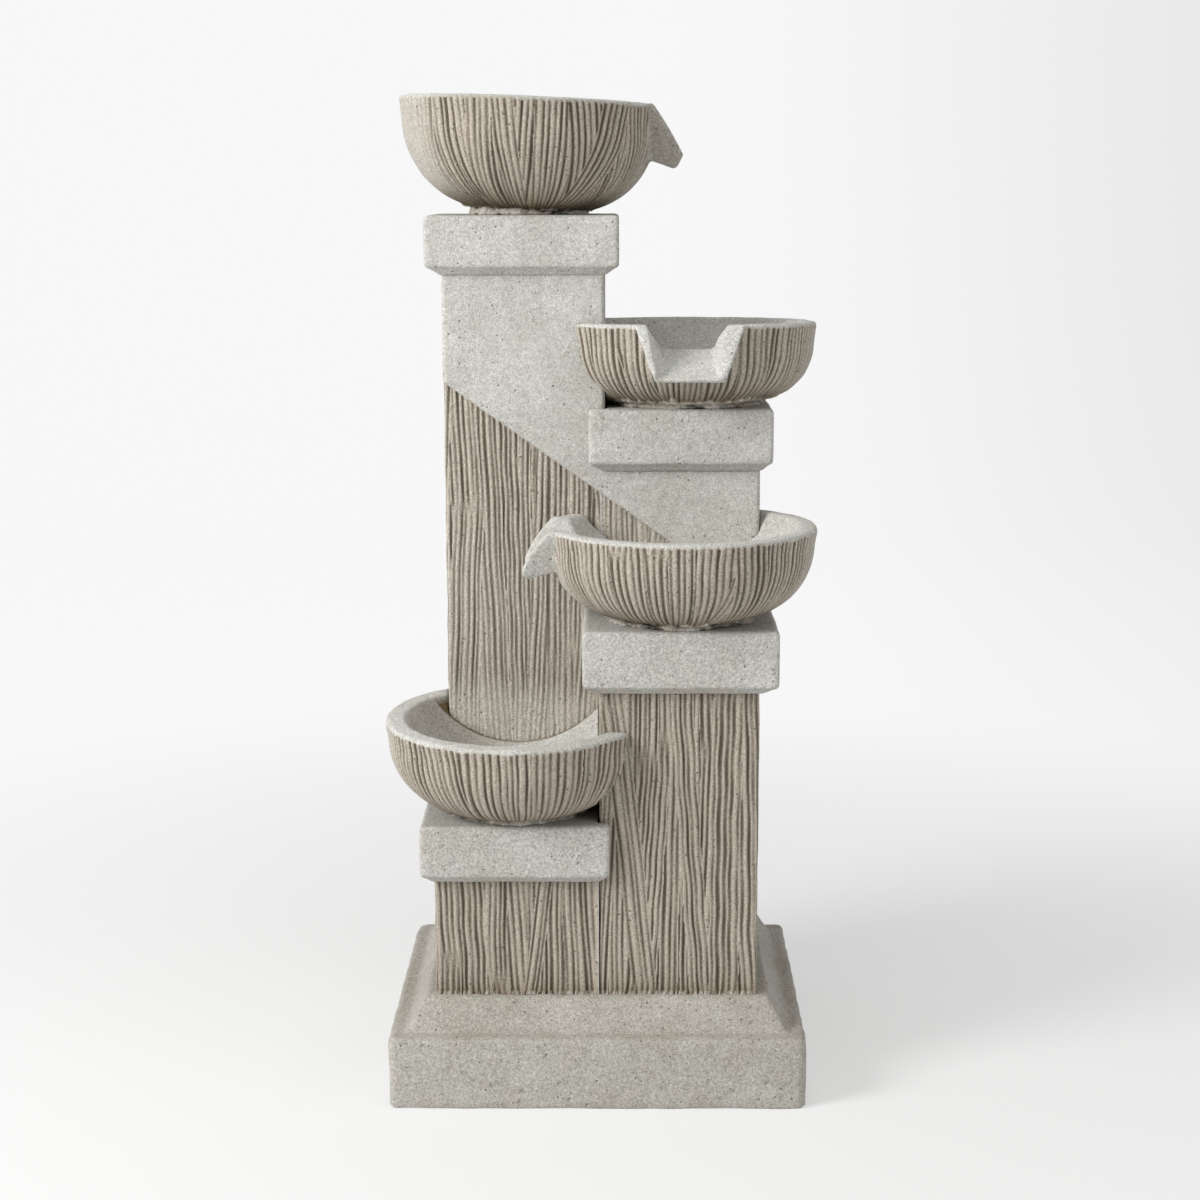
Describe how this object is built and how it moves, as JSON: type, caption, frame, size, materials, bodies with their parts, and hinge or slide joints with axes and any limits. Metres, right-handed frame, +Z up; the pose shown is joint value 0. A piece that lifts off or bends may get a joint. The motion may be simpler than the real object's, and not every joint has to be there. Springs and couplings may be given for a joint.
{
  "type": "cascading garden fountain",
  "caption": "Floor-standing cascade fountain: combed cast-stone columns on a stepped reservoir plinth carry spouted bowls that pour from tier to tier, with a pump inside.",
  "frame": {"origin": "middle of the plinth's underside, on the ground", "axes": "+Z up, -Y towards the viewer of the fountain's front, +X to the viewer's right"},
  "size_m": [0.4457, 0.4132, 1.0053],
  "materials": {
    "smooth_stone": "fine sanded cast stone",
    "combed_stone": "hand-combed cast stone",
    "mortar": "rough mortar",
    "black_plastic": "moulded black plastic",
    "grey_plastic": "moulded grey plastic",
    "black_rubber": "moulded rubber",
    "clear_hose": "milky flexible hose",
    "steel": "rolled stainless band",
    "white_ceramic": "ground ceramic"
  },
  "bodies": {
    "fountain": {"plinth": "smooth_stone", "tall_column": "combed_stone", "rear_right_column": "combed_stone", "front_right_column": "combed_stone", "front_left_column": "combed_stone", "top_cap_block": "smooth_stone", "second_cap_block": "smooth_stone", "third_cap_block": "smooth_stone", "lowest_cap_block": "smooth_stone", "top_mortar_bed": "mortar", "second_mortar_bed": "mortar", "third_mortar_bed": "mortar", "lowest_mortar_bed": "mortar", "top_bowl": "combed_stone", "second_bowl": "combed_stone", "third_bowl": "combed_stone", "lowest_bowl": "combed_stone", "cable_grommet": "black_rubber", "pump_housing": "black_plastic", "pump_volute_cover": "black_plastic", "pump_strainer_cover": "black_plastic", "pump_shaft": "white_ceramic", "pump_suction_feet": "black_rubber", "riser_hose": "clear_hose", "hose_clamps": "steel", "inlet_fitting": "black_plastic", "inlet_gasket": "black_rubber", "inlet_nut": "black_plastic", "drain_bush": "black_plastic"},
    "door": {"access_door": "smooth_stone"},
    "impeller": {"pump_impeller": "grey_plastic"},
    "flow_dial": {"pump_flow_dial": "grey_plastic"},
    "strainer": {"drain_strainer": "grey_plastic"}
  },
  "joints": [
    {"name": "door_pull", "type": "slide", "parent": "fountain", "child": "door", "axis": [0, 1, 0], "range_m": [0, 0.15]},
    {"name": "impeller_spin", "type": "hinge", "parent": "fountain", "child": "impeller", "pos_m": [-0.1101, 0.0686, 0.045], "axis": [0, 1, 0], "continuous": true},
    {"name": "dial_turn", "type": "hinge", "parent": "fountain", "child": "flow_dial", "pos_m": [-0.1101, 0.0861, 0.057], "axis": [0, 1, 0], "range_deg": [0, 90]},
    {"name": "strainer_lift", "type": "slide", "parent": "fountain", "child": "strainer", "axis": [0, 0, 1], "range_m": [0, 0.05]}
  ]
}
